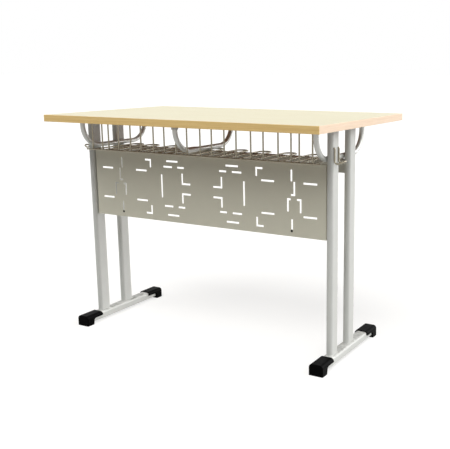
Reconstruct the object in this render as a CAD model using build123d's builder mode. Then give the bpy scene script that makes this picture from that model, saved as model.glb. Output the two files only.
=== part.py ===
from build123d import *
from math import cos, radians, sin
import os

# A two-leg-a-side school table on floor runners, with a slotted front panel, a wire book basket under
# three bent tubes, and a bag hook at each end. Millimetres. +X runs along the table's length,
# +Y from the panel towards the person sitting at it, +Z up from the floor. The origin is on the floor
# under the middle of the top.

# Table top
TABLE_LENGTH = 1000.0
TABLE_DEPTH = 600.0
TABLE_HEIGHT = 730.0
BOARD_THICKNESS = 22.0
BAND_THICKNESS = 2.0
BAND_ARRIS = 0.8

# Legs: flat-oval tube, the long side of the oval along Y
LEG_DEPTH = 48.0
LEG_WIDTH = 20.0
LEG_WALL = 1.5
LEG_INSET = 35.5
LEG_PITCH = 116.0
FRONT_LEG_SETBACK = 174.0

# Floor runners and their caps
FOOT_LENGTH = 396.0
FOOT_SETBACK = 68.5
FOOT_WIDTH = 37.0
FOOT_HEIGHT = 24.0
FOOT_CLEARANCE = 8.0
FOOT_WALL = 2.0
FOOT_SHOULDER = 8.0
FOOT_LOWER_CORNER = 3.0
CAP_WALL = 3.0
CAP_SIDE_WALL = 5.0
CAP_END_WALL = 4.0
CAP_BLOCK_LENGTH = 29.0
CAP_HOOD_LENGTH = 74.0
CAP_TIP_HEIGHT = 22.0
CAP_HEEL_LEAN = 2.0
CAP_HEEL_ROUND = 10.0
CAP_EDGE_ROUND = 3.0

# Bent tubes under the top
BOW_DIAMETER = 16.0
BOW_WALL = 1.5
BOW_END_STRAIGHT = 16.0
BOW_SETBACK = 96.0
BOW_LENGTH = 326.0
BOW_DROP = 95.0
MIDDLE_BOW_OFFSET = -54.0

# Flat bars that carry the top on the legs and the outer bows
BAR_THICKNESS = 3.0
BAR_SIDE_MARGIN = 2.5
BAR_OVERHANG = 24.0

# Sockets that hold the middle bow under the top
SOCKET_WALL = 3.0
SOCKET_FLANGE = 3.0
SOCKET_FLANGE_LENGTH = 54.0
SOCKET_FLANGE_WIDTH = 24.0
SOCKET_SCREW_PITCH = 38.0

# Lengthwise beam between the rear legs
BEAM_HEIGHT = 40.0
BEAM_WIDTH = 20.0
BEAM_WALL = 1.5

# Front panel: a folded sheet hung between the front legs
PANEL_HEIGHT = 222.0
PANEL_TOP_GAP = 2.0
PANEL_SHEET = 1.2
PANEL_GAP = 3.5
PANEL_SETBACK = 10.0
PANEL_FLANGE = 25.0
PANEL_RETURN = 12.0
PANEL_BEND = 3.0
SLOT_WIDTH = 6.0
PANEL_SCREW_EDGE = 31.0
SPACER_DIAMETER = 15.0
SPACER_BORE = 5.6
PLUG_DIAMETER = 7.0
PLUG_HEIGHT = 1.4
PLUG_STEM_DIAMETER = 5.0
PLUG_STEM_LENGTH = 4.0

# Wire basket
WIRE_DIAMETER = 5.0
BASKET_SETBACK = 124.5
BASKET_DEPTH = 216.0
PAIR_GAP = 43.0
HAIRPIN_BEND = 8.0
LOOP_CORNER_GAP = 0.4
FRONT_RAIL_LEAN = 35.0
BACK_RAIL_GAP = 10.0
RAIL_END_GAP = 4.5
RISER_TOP_GAP = 1.0
CLIP_SHEET = 2.0
CLIP_WIDTH = 16.0
CLIP_TONGUE = 20.0
CLIP_LIP = 6.0

# Bag hooks: a bent wire let into the outer face of each front leg
HOOK_GAP = 27.0
HOOK_TOP_DROP = 53.0
HOOK_LOW_DROP = 102.0
HOOK_TIP_RISE = 12.0
HOOK_REACH = 30.0
HOOK_BEND = 9.0
HOOK_TOP_BEND = 4.0
HOOK_TAIL = 2.0
HOOK_HOLE_CLEARANCE = 1.8
HOOK_CORNER_GAP = 0.2

# Screws
WOOD_SCREW_DIAMETER = 4.0
WOOD_SCREW_REACH = 18.0
WOOD_SCREW_HEAD = 8.0
WOOD_SCREW_HEAD_HEIGHT = 2.6
PANEL_SCREW_DIAMETER = 5.0
PANEL_SCREW_REACH = 12.0
PANEL_SCREW_HEAD = 9.5
PANEL_SCREW_HEAD_HEIGHT = 3.0
SCREW_HOLE_CLEARANCE = 0.5
HEAD_ROUND = 1.2
RECESS_LENGTH = 4.4
RECESS_WIDTH = 1.1
RECESS_DEPTH = 1.4
CUT_OVERRUN = 4.0

# Where the pairs of basket wires stand, as shares of half the table's length
hairpin_place_shares = (0.093, 0.271, 0.460, 0.647, 0.787)
# Where the clips of the basket stand, as shares of half the table's length
clip_place_shares = (0.182, 0.553)
# Height of the panel screws between the edge distances, from the lowest to the highest
panel_screw_shares = (0.0, 0.5, 1.0)

# The panel's slots: strokes from (x0, z0) to (x1, z1), as shares of half the panel's width and height
# from its middle, cut again in mirror image on the other half
slot_shares = (
    (0.216, 0.793, 0.307, 0.793),
    (0.268, 0.626, 0.334, 0.626),
    (0.161, 0.626, 0.208, 0.626),
    (0.172, 0.162, 0.172, 0.437),
    (0.107, 0.162, 0.172, 0.162),
    (0.172, -0.383, 0.172, -0.135),
    (0.106, -0.135, 0.172, -0.135),
    (0.269, -0.536, 0.334, -0.536),
    (0.160, -0.536, 0.207, -0.536),
    (0.216, -0.797, 0.307, -0.797),
    (0.360, -0.266, 0.360, 0.365),
    (0.462, 0.599, 0.462, 0.793),
    (0.462, 0.793, 0.506, 0.793),
    (0.507, 0.465, 0.597, 0.465),
    (0.507, -0.434, 0.597, -0.434),
    (0.464, -0.806, 0.464, -0.590),
    (0.464, -0.806, 0.510, -0.806),
    (0.738, 0.527, 0.738, 0.788),
    (0.760, 0.135, 0.760, 0.464),
    (0.741, 0.135, 0.760, 0.135),
    (0.710, -0.297, 0.710, 0.014),
    (0.710, 0.014, 0.725, 0.014),
    (0.808, -0.311, 0.808, 0.014),
    (0.786, 0.014, 0.808, 0.014),
    (0.742, -0.779, 0.742, -0.554),
    (0.836, 0.468, 0.926, 0.468),
    (0.836, -0.434, 0.926, -0.434),
)
plug_shares = (0.740, -0.847)

# Levels and places that follow from the sizes above
UNDERSIDE = TABLE_HEIGHT - BOARD_THICKNESS
BAR_UNDERSIDE = UNDERSIDE - BAR_THICKNESS
FRONT_EDGE = -TABLE_DEPTH / 2
FOOT_TOP = FOOT_CLEARANCE + FOOT_HEIGHT
LEG_OUTER = TABLE_LENGTH / 2 - LEG_INSET
LEG_X = LEG_OUTER - LEG_WIDTH / 2
LEG_INNER = LEG_OUTER - LEG_WIDTH
FRONT_LEG_Y = FRONT_EDGE + FRONT_LEG_SETBACK
REAR_LEG_Y = FRONT_LEG_Y + LEG_PITCH
FOOT_FRONT = FRONT_EDGE + FOOT_SETBACK
FOOT_REAR = FOOT_FRONT + FOOT_LENGTH
BOW_RADIUS = BOW_DIAMETER / 2
BOW_X = LEG_INNER - BOW_RADIUS
BOW_FRONT_Y = FRONT_EDGE + BOW_SETBACK + BOW_RADIUS
BOW_REAR_Y = FRONT_EDGE + BOW_SETBACK + BOW_LENGTH - BOW_RADIUS
BOW_UNDERSIDE = UNDERSIDE - BOW_DROP
BOW_BEND = BOW_DROP - BOW_RADIUS - BOW_END_STRAIGHT
SOCKET_BORE_TOP = UNDERSIDE - SOCKET_FLANGE
BAR_INNER = BOW_X - BOW_RADIUS - BAR_SIDE_MARGIN
BAR_OUTER = LEG_OUTER + BAR_SIDE_MARGIN
BAR_X = (BAR_INNER + BAR_OUTER) / 2
BAR_FRONT = BOW_FRONT_Y - BOW_RADIUS - BAR_OVERHANG
BAR_REAR = BOW_REAR_Y + BOW_RADIUS + BAR_OVERHANG
WIRE_RADIUS = WIRE_DIAMETER / 2
FLOOR_Z = BOW_UNDERSIDE - WIRE_RADIUS
RAIL_Z = FLOOR_Z - WIRE_DIAMETER
BEAM_TOP = FLOOR_Z - WIRE_RADIUS
RISER_Y = FRONT_EDGE + BASKET_SETBACK
TOP_WIRE_Y = RISER_Y + WIRE_DIAMETER
TOP_WIRE_Z = BAR_UNDERSIDE - WIRE_RADIUS
RAIL_HALF_LENGTH = LEG_INNER - RAIL_END_GAP
PANEL_TOP = FLOOR_Z - WIRE_RADIUS - PANEL_TOP_GAP
PANEL_BOTTOM = PANEL_TOP - PANEL_HEIGHT
PANEL_MIDDLE_Z = (PANEL_TOP + PANEL_BOTTOM) / 2
PANEL_HALF_WIDTH = LEG_INNER - PANEL_GAP
PANEL_FRONT = FRONT_LEG_Y - LEG_DEPTH / 2 + PANEL_SETBACK
HOOK_TOP = UNDERSIDE - HOOK_TOP_DROP
HOOK_LOW = UNDERSIDE - HOOK_LOW_DROP
HOOK_X = LEG_OUTER + WIRE_RADIUS
HOOK_TIP_X = LEG_OUTER + HOOK_REACH

SIDES = (("left", -1), ("right", 1))
BOTTOM = (Align.CENTER, Align.CENTER, Align.MIN)
TOP = (Align.CENTER, Align.CENTER, Align.MAX)


def save(piece, label):
    """Name a finished piece and write it to its own file."""
    piece.part.label = label
    export_step(piece.part, f"parts/{label}.step")


def facing_y(x, y, z, toward):
    """Plane at a section across Y, facing +Y or -Y, with its own y axis up."""
    return Plane(origin=(x, y, z), x_dir=(-toward, 0, 0), z_dir=(0, toward, 0))


def facing_x(x, y, z, toward):
    """Plane at a point, facing +X or -X."""
    return Plane(origin=(x, y, z), x_dir=(0, toward, 0), z_dir=(toward, 0, 0))


def bent_tube(points, bends, radius, bore=0):
    """Round wire or tube along straight runs with rounded corners; a bore makes it hollow."""
    with BuildPart() as tube:
        with BuildLine() as route:
            FilletPolyline(*points, radius=bends)
        with BuildSketch(Plane(origin=route.line @ 0, z_dir=route.line % 0)):
            Circle(radius)
            if bore:
                Circle(bore, mode=Mode.SUBTRACT)
        sweep()
    return tube


def wire_along_x(y, z, half_length):
    """Straight basket wire along the table."""
    with BuildPart() as wire:
        with BuildSketch(Plane.YZ):
            with Locations((y, z)):
                Circle(WIRE_RADIUS)
        extrude(amount=half_length, both=True)
    return wire


def screws(planes, diameter, reach, head, head_height):
    """Pan-head screws: each plane's origin is under the head, and its normal runs along the shank."""
    with BuildPart() as screw:
        Cylinder(head / 2, head_height, align=TOP)
        fillet(screw.faces().sort_by(Axis.Z)[0].edges(), radius=HEAD_ROUND)
        Cylinder(diameter / 2, reach, align=BOTTOM)
        with Locations((0, 0, -head_height)):
            Box(RECESS_LENGTH, RECESS_WIDTH, RECESS_DEPTH * 2, mode=Mode.SUBTRACT)
            Box(RECESS_WIDTH, RECESS_LENGTH, RECESS_DEPTH * 2, mode=Mode.SUBTRACT)
    with BuildPart() as group:
        with Locations(*planes):
            add(screw.part)
    return group


def bar_screw_places(side):
    """Where the wood screws pass through one flat bar."""
    front = BAR_FRONT + BAR_OVERHANG / 2
    between_legs = (FRONT_LEG_Y + REAR_LEG_Y) / 2
    behind_leg = (REAR_LEG_Y + LEG_DEPTH / 2 + BOW_REAR_Y - BOW_RADIUS) / 2
    rear = BAR_REAR - BAR_OVERHANG / 2
    return [(side * BAR_X, y) for y in (front, between_legs, behind_leg, rear)]


def socket_screw_places(y):
    """Where the wood screws pass through one socket of the middle bow."""
    return [(MIDDLE_BOW_OFFSET + side * SOCKET_SCREW_PITCH / 2, y) for name, side in SIDES]


def clip_places():
    """Centres of the clips along the table, between pairs of basket wires."""
    right = [TABLE_LENGTH / 2 * share for share in clip_place_shares]
    return sorted([-x for x in right] + right)


def clip_screw_y():
    """How far back the screw of a clip stands."""
    return TOP_WIRE_Y + WIRE_RADIUS + (CLIP_SHEET + CLIP_TONGUE) / 2


def wood_screw_points():
    """Every place where a wood screw enters the board."""
    points = bar_screw_places(-1) + bar_screw_places(1)
    points += socket_screw_places(BOW_FRONT_Y) + socket_screw_places(BOW_REAR_Y)
    points += [(x, clip_screw_y()) for x in clip_places()]
    return points


def make_board():
    """Chipboard core with a pilot hole for every wood screw."""
    length = TABLE_LENGTH - 2 * BAND_THICKNESS
    depth = TABLE_DEPTH - 2 * BAND_THICKNESS
    hole_depth = WOOD_SCREW_REACH - BAR_THICKNESS
    with BuildPart() as board:
        with Locations((0, 0, UNDERSIDE)):
            Box(length, depth, BOARD_THICKNESS, align=BOTTOM)
        for x, y in wood_screw_points():
            with Locations((x, y, UNDERSIDE)):
                Cylinder(WOOD_SCREW_DIAMETER / 2, hole_depth, align=BOTTOM, mode=Mode.SUBTRACT)
    save(board, "tabletop_board")


def make_long_band(label, side):
    """Edging strip along the front or the rear edge, over the full length."""
    with BuildPart() as band:
        with Locations((0, side * (TABLE_DEPTH - BAND_THICKNESS) / 2, UNDERSIDE)):
            Box(TABLE_LENGTH, BAND_THICKNESS, BOARD_THICKNESS, align=BOTTOM)
        outer = band.faces().sort_by(Axis.Y)[-1 if side > 0 else 0]
        fillet(outer.edges(), radius=BAND_ARRIS)
    save(band, label)


def make_short_band(label, side):
    """Edging strip on one end, between the long strips."""
    with BuildPart() as band:
        with Locations((side * (TABLE_LENGTH - BAND_THICKNESS) / 2, 0, UNDERSIDE)):
            Box(BAND_THICKNESS, TABLE_DEPTH - 2 * BAND_THICKNESS, BOARD_THICKNESS, align=BOTTOM)
        outer = band.faces().sort_by(Axis.X)[-1 if side > 0 else 0]
        fillet(outer.edges().filter_by(Axis.Y), radius=BAND_ARRIS)
    save(band, label)


def leg_tube(x, y):
    """Plain flat-oval leg from the floor runner up to the flat bar."""
    with BuildPart() as leg:
        with BuildSketch(Plane.XY.offset(FOOT_TOP)):
            with Locations((x, y)):
                SlotOverall(LEG_DEPTH, LEG_WIDTH, rotation=90)
                SlotOverall(LEG_DEPTH - 2 * LEG_WALL, LEG_WIDTH - 2 * LEG_WALL, rotation=90, mode=Mode.SUBTRACT)
        extrude(amount=BAR_UNDERSIDE - FOOT_TOP)
    return leg


def panel_screw_heights():
    """Heights of the screws that hold the panel to a leg."""
    low = PANEL_BOTTOM + PANEL_SCREW_EDGE
    span = PANEL_HEIGHT - 2 * PANEL_SCREW_EDGE
    return [low + span * share for share in panel_screw_shares]


def hook_wire_places():
    """The two places in Y where the wire of a bag hook runs down the leg."""
    return [FRONT_LEG_Y + side * HOOK_GAP / 2 for name, side in SIDES]


def make_front_leg(label, side):
    """Front leg with threaded holes for the panel and holes for the bag hook."""
    leg = leg_tube(side * LEG_X, FRONT_LEG_Y)
    inner = side * (LEG_INNER + LEG_WALL / 2)
    outer = side * (LEG_OUTER - LEG_WALL / 2)
    hook_hole = WIRE_RADIUS + HOOK_HOLE_CLEARANCE / 2
    with BuildPart() as drilled:
        add(leg.part)
        for z in panel_screw_heights():
            with Locations(facing_x(inner, FRONT_LEG_Y, z, side)):
                Cylinder(PANEL_SCREW_DIAMETER / 2, 2 * LEG_WALL, mode=Mode.SUBTRACT)
        for y in hook_wire_places():
            with Locations(facing_x(outer, y, HOOK_TOP, side)):
                Cylinder(hook_hole, 2 * LEG_WALL, mode=Mode.SUBTRACT)
    save(drilled, label)


def make_rear_leg(label, side):
    """Rear leg, which the beam is welded to."""
    save(leg_tube(side * LEG_X, REAR_LEG_Y), label)


def foot_section(plane, width, height, shoulder, lower_corner):
    """Runner profile with rounded shoulders, standing on the plane's x axis."""
    with BuildSketch(plane) as section:
        Rectangle(width, height, align=(Align.CENTER, Align.MIN))
        fillet(section.vertices().group_by(Axis.Y)[-1], radius=shoulder)
        if lower_corner:
            fillet(section.vertices().group_by(Axis.Y)[0], radius=lower_corner)
    return section.sketch


def make_foot(label, side):
    """Floor runner, raised off the floor by its caps."""
    start = FOOT_FRONT + CAP_END_WALL
    length = FOOT_LENGTH - 2 * CAP_END_WALL
    bore_width = FOOT_WIDTH - 2 * FOOT_WALL
    bore_height = FOOT_HEIGHT - 2 * FOOT_WALL
    outside = facing_y(side * LEG_X, start, FOOT_CLEARANCE, 1)
    inside = facing_y(side * LEG_X, start, FOOT_CLEARANCE + FOOT_WALL, 1)
    skin = foot_section(outside, FOOT_WIDTH, FOOT_HEIGHT, FOOT_SHOULDER, FOOT_LOWER_CORNER)
    bore = foot_section(
        inside, bore_width, bore_height, FOOT_SHOULDER - FOOT_WALL, FOOT_LOWER_CORNER - FOOT_WALL
    )
    with BuildPart() as foot:
        extrude(skin, amount=length)
        extrude(bore, amount=length, mode=Mode.SUBTRACT)
    save(foot, label)


def make_cap(label, side, end_y, inward):
    """Plastic cap: a block to the floor with a hood that runs back over the runner."""
    x = side * LEG_X
    width = FOOT_WIDTH + 2 * CAP_SIDE_WALL
    top = FOOT_TOP + CAP_WALL
    heel = CAP_BLOCK_LENGTH + CAP_HEEL_LEAN
    round_y = end_y + inward * (heel + CAP_HEEL_ROUND)
    round_z = CAP_TIP_HEIGHT - CAP_HEEL_ROUND
    skin = foot_section(facing_y(x, end_y, 0, inward), width, top, FOOT_SHOULDER + CAP_WALL, 0)
    pocket = facing_y(x, end_y + inward * CAP_END_WALL, FOOT_CLEARANCE, inward)
    cavity = foot_section(pocket, FOOT_WIDTH, FOOT_HEIGHT, FOOT_SHOULDER, FOOT_LOWER_CORNER)
    with BuildPart() as cap:
        extrude(skin, amount=CAP_HOOD_LENGTH)
        with BuildSketch(Plane.YZ.offset(x)):
            with BuildLine():
                Polyline((end_y, 0), (end_y + inward * CAP_BLOCK_LENGTH, 0), (end_y + inward * heel, round_z))
                CenterArc((round_y, round_z), CAP_HEEL_ROUND, 90 + 90 * inward, -90 * inward)
                Polyline(
                    (round_y, CAP_TIP_HEIGHT),
                    (end_y + inward * CAP_HOOD_LENGTH, CAP_TIP_HEIGHT),
                    (end_y + inward * (CAP_HOOD_LENGTH - CAP_HEEL_LEAN), top),
                    (end_y, top),
                    (end_y, 0),
                )
            make_face()
        extrude(amount=width, both=True, mode=Mode.INTERSECT)
        end_face = cap.faces().sort_by(Axis.Y)[0 if inward > 0 else -1]
        fillet(end_face.edges().sort_by(Axis.Z)[1:], radius=CAP_EDGE_ROUND)
        extrude(cavity, amount=CAP_HOOD_LENGTH, mode=Mode.SUBTRACT)
    save(cap, label)


def make_bow(label, x, top):
    """Bent tube that comes down from the top, runs back under the basket space and up again."""
    low = BOW_UNDERSIDE + BOW_RADIUS
    points = ((x, BOW_FRONT_Y, top), (x, BOW_FRONT_Y, low), (x, BOW_REAR_Y, low), (x, BOW_REAR_Y, top))
    save(bent_tube(points, (BOW_BEND, BOW_BEND), BOW_RADIUS, BOW_RADIUS - BOW_WALL), label)


def make_bar(label, side):
    """Flat bar on the heads of two legs and a bow, drilled for its screws."""
    with BuildPart() as bar:
        with Locations((side * BAR_X, (BAR_FRONT + BAR_REAR) / 2, BAR_UNDERSIDE)):
            Box(BAR_OUTER - BAR_INNER, BAR_REAR - BAR_FRONT, BAR_THICKNESS, align=BOTTOM)
        for x, y in bar_screw_places(side):
            with Locations((x, y, BAR_UNDERSIDE)):
                Cylinder(
                    (WOOD_SCREW_DIAMETER + SCREW_HOLE_CLEARANCE) / 2,
                    2 * BAR_THICKNESS,
                    align=BOTTOM,
                    mode=Mode.SUBTRACT,
                )
    save(bar, label)


def make_socket(label, y):
    """Flanged collar on the straight end of the middle bow."""
    x = MIDDLE_BOW_OFFSET
    bore_depth = BOW_END_STRAIGHT - SOCKET_FLANGE
    hole = (WOOD_SCREW_DIAMETER + SCREW_HOLE_CLEARANCE) / 2
    with BuildPart() as socket:
        with BuildSketch(Plane.XY.offset(SOCKET_BORE_TOP)):
            with Locations((x, y)):
                RectangleRounded(SOCKET_FLANGE_LENGTH, SOCKET_FLANGE_WIDTH, SOCKET_FLANGE_WIDTH / 4)
            with Locations(*socket_screw_places(y)):
                Circle(hole, mode=Mode.SUBTRACT)
        extrude(amount=SOCKET_FLANGE)
        with BuildSketch(Plane.XY.offset(SOCKET_BORE_TOP)):
            with Locations((x, y)):
                Circle(BOW_RADIUS + SOCKET_WALL)
                Circle(BOW_RADIUS, mode=Mode.SUBTRACT)
        extrude(amount=-bore_depth)
    save(socket, label)


def make_beam():
    """Rectangular tube welded between the inner faces of the rear legs."""
    middle = BEAM_TOP - BEAM_HEIGHT / 2
    with BuildPart() as beam:
        with BuildSketch(Plane.YZ):
            with Locations((REAR_LEG_Y, middle)):
                RectangleRounded(BEAM_WIDTH, BEAM_HEIGHT, BEAM_WALL)
                Rectangle(BEAM_WIDTH - 2 * BEAM_WALL, BEAM_HEIGHT - 2 * BEAM_WALL, mode=Mode.SUBTRACT)
        extrude(amount=LEG_INNER, both=True)
    save(beam, "cross_beam")


def slot_strokes():
    """Centre, length and height of every slot in the panel, in its own flat coordinates."""
    strokes = []
    half_height = PANEL_HEIGHT / 2
    for x0, z0, x1, z1 in slot_shares:
        for name, side in SIDES:
            centre = (side * PANEL_HALF_WIDTH * (x0 + x1) / 2, half_height * (z0 + z1) / 2)
            length = PANEL_HALF_WIDTH * (x1 - x0) + SLOT_WIDTH
            height = half_height * (z1 - z0) + SLOT_WIDTH
            strokes.append((centre, length, height))
    return strokes


def plug_places():
    """Where the two plugs sit, in the panel's flat coordinates."""
    x_share, z_share = plug_shares
    return [(side * PANEL_HALF_WIDTH * x_share, z_share * PANEL_HEIGHT / 2) for name, side in SIDES]


def panel_plane():
    """Plane on the panel's front face, facing the viewer, centred on it."""
    return Plane(origin=(0, PANEL_FRONT, PANEL_MIDDLE_Z), x_dir=(1, 0, 0), z_dir=(0, -1, 0))


def make_panel():
    """Folded sheet with flanges along its sides, short returns above and below, and slots."""
    rear = PANEL_FRONT + PANEL_FLANGE
    wide = 2 * PANEL_HALF_WIDTH
    with BuildPart() as panel:
        with BuildSketch(Plane.XY.offset(PANEL_BOTTOM)) as outline:
            with Locations((0, (PANEL_FRONT + rear) / 2)):
                Rectangle(wide, PANEL_FLANGE)
            fillet(outline.vertices().group_by(Axis.Y)[0], radius=PANEL_BEND)
        extrude(amount=PANEL_HEIGHT)
        with BuildSketch(Plane.XY.offset(PANEL_BOTTOM)) as hollow:
            with Locations((0, (PANEL_FRONT + PANEL_SHEET + rear + CUT_OVERRUN) / 2)):
                Rectangle(wide - 2 * PANEL_SHEET, PANEL_FLANGE - PANEL_SHEET + CUT_OVERRUN)
            fillet(hollow.vertices().group_by(Axis.Y)[0], radius=PANEL_BEND - PANEL_SHEET)
        extrude(amount=PANEL_HEIGHT, mode=Mode.SUBTRACT)
        for z, align in ((PANEL_TOP, Align.MAX), (PANEL_BOTTOM, Align.MIN)):
            with Locations((0, PANEL_FRONT + PANEL_SHEET / 2, z)):
                Box(
                    wide - PANEL_SHEET,
                    PANEL_RETURN,
                    PANEL_SHEET,
                    align=(Align.CENTER, Align.MIN, align),
                )
        with BuildSketch(panel_plane()):
            for centre, length, height in slot_strokes():
                with Locations(centre):
                    Rectangle(length, height)
            with Locations(*plug_places()):
                Circle(PLUG_STEM_DIAMETER / 2)
        extrude(amount=CUT_OVERRUN, both=True, mode=Mode.SUBTRACT)
        for name, side in SIDES:
            for z in panel_screw_heights():
                with Locations(facing_x(side * PANEL_HALF_WIDTH, FRONT_LEG_Y, z, side)):
                    Cylinder(SPACER_BORE / 2, 2 * CUT_OVERRUN, mode=Mode.SUBTRACT)
    save(panel, "modesty_panel")


def make_spacers():
    """Washers that fill the gap between the panel's flanges and the legs."""
    with BuildPart() as spacers:
        for name, side in SIDES:
            for z in panel_screw_heights():
                with Locations(facing_x(side * PANEL_HALF_WIDTH, FRONT_LEG_Y, z, side)):
                    Cylinder(SPACER_DIAMETER / 2, PANEL_GAP, align=BOTTOM)
                    Cylinder(SPACER_BORE / 2, PANEL_GAP, align=BOTTOM, mode=Mode.SUBTRACT)
    save(spacers, "panel_spacers")


def make_panel_screws():
    """Screws through the panel's flanges and the spacers into the legs."""
    inside = PANEL_HALF_WIDTH - PANEL_SHEET
    planes = []
    for name, side in SIDES:
        planes += [facing_x(side * inside, FRONT_LEG_Y, z, side) for z in panel_screw_heights()]
    group = screws(
        planes, PANEL_SCREW_DIAMETER, PANEL_SCREW_REACH, PANEL_SCREW_HEAD, PANEL_SCREW_HEAD_HEIGHT
    )
    save(group, "panel_screws")


def make_plugs():
    """Push-in plugs in the two small holes low in the panel."""
    with BuildPart() as plugs:
        with BuildSketch(panel_plane()):
            with Locations(*plug_places()):
                Circle(PLUG_DIAMETER / 2)
        extrude(amount=PLUG_HEIGHT)
        fillet(plugs.faces().filter_by(Axis.Y).group_by(Axis.Y)[0].edges(), radius=PLUG_HEIGHT / 2)
        with BuildSketch(panel_plane()):
            with Locations(*plug_places()):
                Circle(PLUG_STEM_DIAMETER / 2)
        extrude(amount=-PLUG_STEM_LENGTH)
    save(plugs, "panel_plugs")


def hairpin_centres():
    """Middle of each pair of basket wires, from left to right."""
    half = TABLE_LENGTH / 2
    right = [half * share for share in hairpin_place_shares]
    return sorted([-x for x in right] + right)


def make_hairpin(label, x):
    """One bent wire: down the front, back along the floor, round a loop and the same way home."""
    top = BAR_UNDERSIDE - RISER_TOP_GAP
    end_y = RISER_Y + BASKET_DEPTH
    legs = []
    for name, side in SIDES:
        wire_x = x + side * PAIR_GAP / 2
        legs.append([(wire_x, RISER_Y, top), (wire_x, RISER_Y, FLOOR_Z), (wire_x, end_y, FLOOR_Z)])
    corner = (PAIR_GAP - LOOP_CORNER_GAP) / 2
    bends = (HAIRPIN_BEND, corner, corner, HAIRPIN_BEND)
    save(bent_tube(legs[0] + legs[1][::-1], bends, WIRE_RADIUS), label)


def rail_places():
    """Name, place in Y and height of each lengthwise wire; the front one lies on the outside of the bends."""
    lean = radians(FRONT_RAIL_LEAN)
    reach = HAIRPIN_BEND + WIRE_DIAMETER
    return [
        ("front", RISER_Y + HAIRPIN_BEND - reach * cos(lean), FLOOR_Z + HAIRPIN_BEND - reach * sin(lean)),
        ("back", REAR_LEG_Y + BEAM_WIDTH / 2 + BACK_RAIL_GAP, RAIL_Z),
        ("top", TOP_WIRE_Y, TOP_WIRE_Z),
    ]


def make_basket_wires():
    """All the wires of the basket."""
    for number, x in enumerate(hairpin_centres(), start=1):
        make_hairpin(f"basket_hairpin_{number:02d}", x)
    for name, y, z in rail_places():
        save(wire_along_x(y, z, RAIL_HALF_LENGTH), f"basket_rail_{name}")


def make_clips():
    """Bent strips that hook under the top wire of the basket and are screwed to the board."""
    back = TOP_WIRE_Y + WIRE_RADIUS
    low = TOP_WIRE_Z - WIRE_RADIUS
    with BuildPart() as clips:
        for x in clip_places():
            with BuildSketch(Plane.YZ.offset(x)):
                with BuildLine():
                    Polyline(
                        (back - CLIP_LIP, low),
                        (back, low),
                        (back, UNDERSIDE),
                        (back + CLIP_SHEET + CLIP_TONGUE, UNDERSIDE),
                        (back + CLIP_SHEET + CLIP_TONGUE, UNDERSIDE - CLIP_SHEET),
                        (back + CLIP_SHEET, UNDERSIDE - CLIP_SHEET),
                        (back + CLIP_SHEET, low - CLIP_SHEET),
                        (back - CLIP_LIP, low - CLIP_SHEET),
                        close=True,
                    )
                make_face()
            extrude(amount=CLIP_WIDTH / 2, both=True)
            with Locations((x, clip_screw_y(), UNDERSIDE)):
                Cylinder(
                    (WOOD_SCREW_DIAMETER + SCREW_HOLE_CLEARANCE) / 2, 2 * CLIP_SHEET, align=TOP, mode=Mode.SUBTRACT
                )
    save(clips, "basket_clips")


def make_wood_screws(label, points, seat):
    """Wood screws that point up into the board, with their heads under the given seat."""
    planes = [Plane(origin=(x, y, seat), z_dir=(0, 0, 1)) for x, y in points]
    reach = UNDERSIDE - seat + WOOD_SCREW_REACH - BAR_THICKNESS
    save(screws(planes, WOOD_SCREW_DIAMETER, reach, WOOD_SCREW_HEAD, WOOD_SCREW_HEAD_HEIGHT), label)


def make_hook(label, side):
    """Bag hook: out of the leg, down its face, round a bend and out to a rounded tip."""
    tail = side * (LEG_OUTER - LEG_WALL - HOOK_TAIL)
    legs = []
    for y in hook_wire_places():
        legs.append(
            [
                (tail, y, HOOK_TOP),
                (side * HOOK_X, y, HOOK_TOP),
                (side * HOOK_X, y, HOOK_LOW),
                (side * HOOK_TIP_X, y, HOOK_LOW + HOOK_TIP_RISE),
            ]
        )
    corner = (HOOK_GAP - HOOK_CORNER_GAP) / 2
    bends = (HOOK_TOP_BEND, HOOK_BEND, corner, corner, HOOK_BEND, HOOK_TOP_BEND)
    save(bent_tube(legs[0] + legs[1][::-1], bends, WIRE_RADIUS), label)


def make_side(name, side):
    """Everything that belongs to one end of the table."""
    make_short_band(f"edge_band_{name}", side)
    make_front_leg(f"front_leg_{name}", side)
    make_rear_leg(f"rear_leg_{name}", side)
    make_foot(f"foot_tube_{name}", side)
    make_cap(f"foot_cap_front_{name}", side, FOOT_FRONT, 1)
    make_cap(f"foot_cap_rear_{name}", side, FOOT_REAR, -1)
    make_bow(f"bow_tube_{name}", side * BOW_X, BAR_UNDERSIDE)
    make_bar(f"top_bar_{name}", side)
    make_hook(f"bag_hook_{name}", side)


def make_table():
    """Every piece of the table."""
    os.makedirs("parts", exist_ok=True)
    make_board()
    make_long_band("edge_band_front", -1)
    make_long_band("edge_band_rear", 1)
    for name, side in SIDES:
        make_side(name, side)
    make_bow("bow_tube_middle", MIDDLE_BOW_OFFSET, SOCKET_BORE_TOP)
    make_socket("bow_socket_front", BOW_FRONT_Y)
    make_socket("bow_socket_rear", BOW_REAR_Y)
    make_beam()
    make_panel()
    make_spacers()
    make_panel_screws()
    make_plugs()
    make_basket_wires()
    make_clips()
    make_wood_screws("tabletop_screws", bar_screw_places(-1) + bar_screw_places(1), BAR_UNDERSIDE)
    sockets = socket_screw_places(BOW_FRONT_Y) + socket_screw_places(BOW_REAR_Y)
    make_wood_screws("socket_screws", sockets, SOCKET_BORE_TOP)
    clips = [(x, clip_screw_y()) for x in clip_places()]
    make_wood_screws("clip_screws", clips, UNDERSIDE - CLIP_SHEET)


make_table()
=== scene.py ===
import math

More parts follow.
